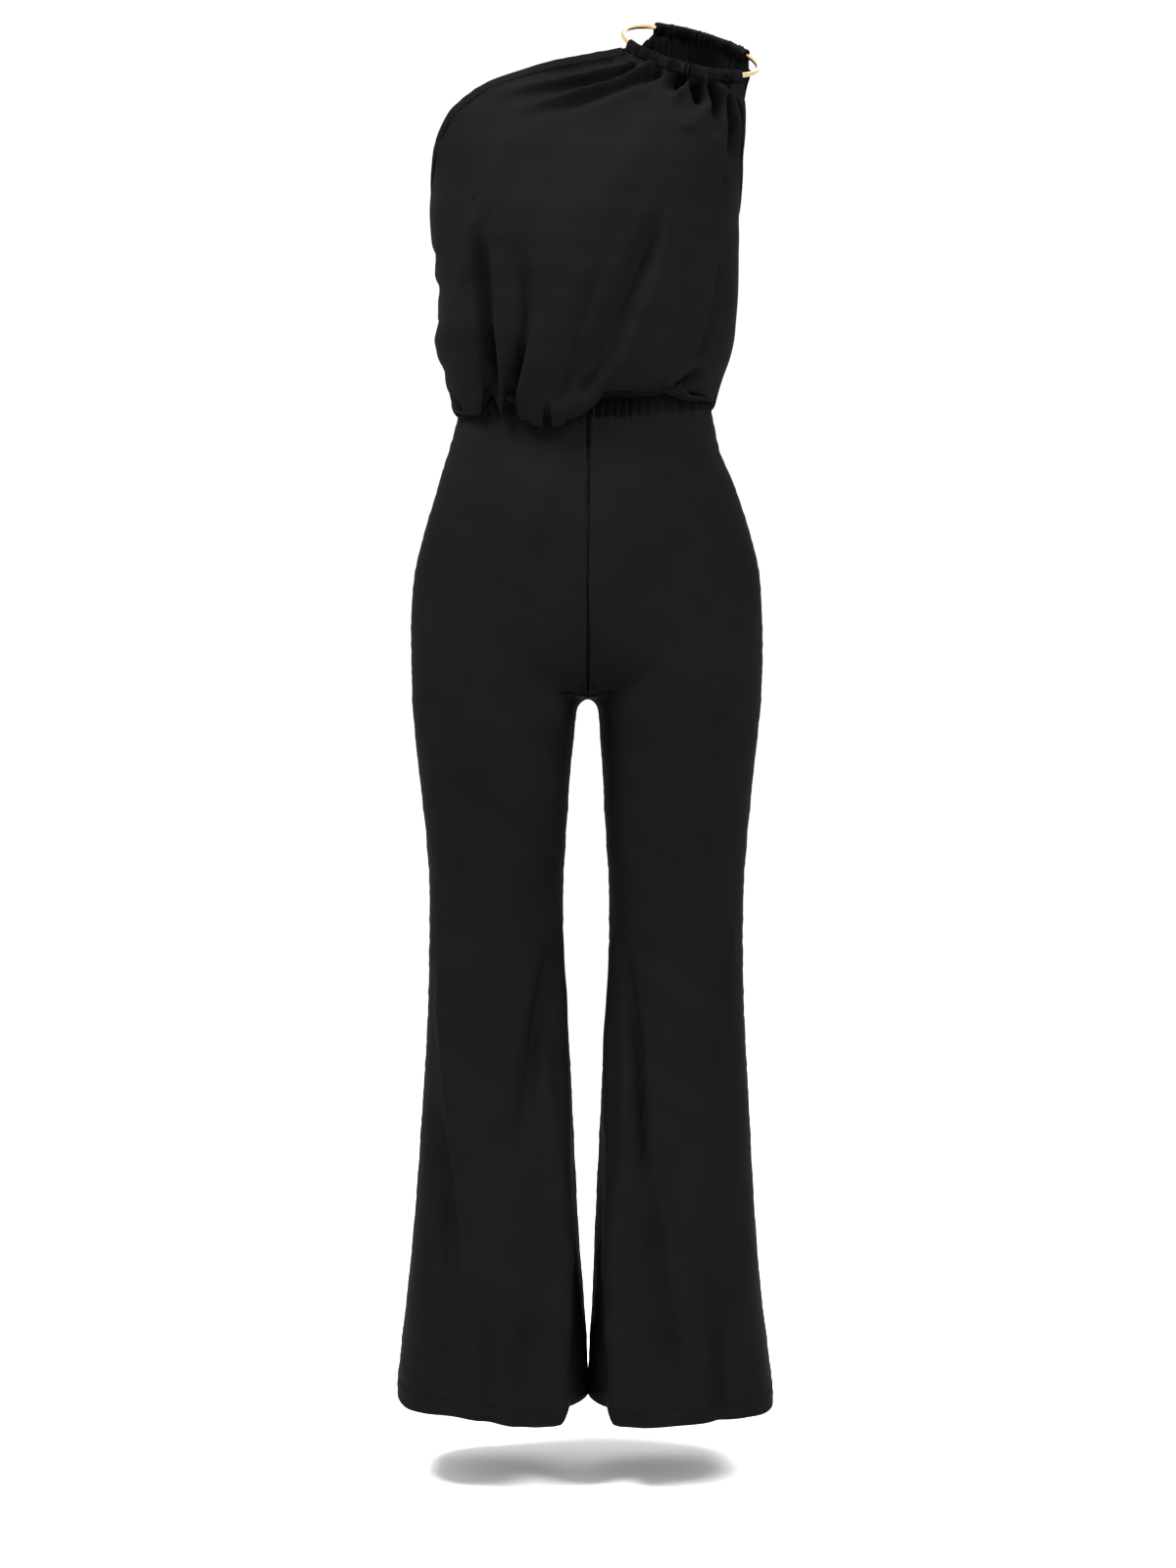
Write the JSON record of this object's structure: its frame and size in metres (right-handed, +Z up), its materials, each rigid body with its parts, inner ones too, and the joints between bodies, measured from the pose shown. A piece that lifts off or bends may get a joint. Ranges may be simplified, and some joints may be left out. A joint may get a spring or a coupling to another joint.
{
  "type": "jumpsuit",
  "caption": "One-shoulder jumpsuit with a bloused bodice gathered on a gold shoulder hoop, elastic waist and flared trouser legs, in its worn form.",
  "frame": {"origin": "crest of the wearer's left shoulder, under the back casing on the hoop, where the garment is held up", "axes": "+Z up, +X towards the wearer's left (the shoulder with the hoop), -Y towards the front"},
  "size_m": [0.3701, 0.2583, 1.3775],
  "materials": {
    "knit": "matt black stretch knit with a soft sheen",
    "hoop": "polished gold-coloured plating on round wire"
  },
  "bodies": {
    "root": {"bodice_front": "knit", "bodice_back": "knit", "casing_front": "knit", "casing_back": "knit", "neckline_binding": "knit", "armhole_binding": "knit", "waist_elastic": "knit", "trouser_front_right": "knit", "trouser_front_left": "knit", "trouser_back_right": "knit", "trouser_back_left": "knit", "shoulder_hoop": "hoop"}
  },
  "joints": []
}
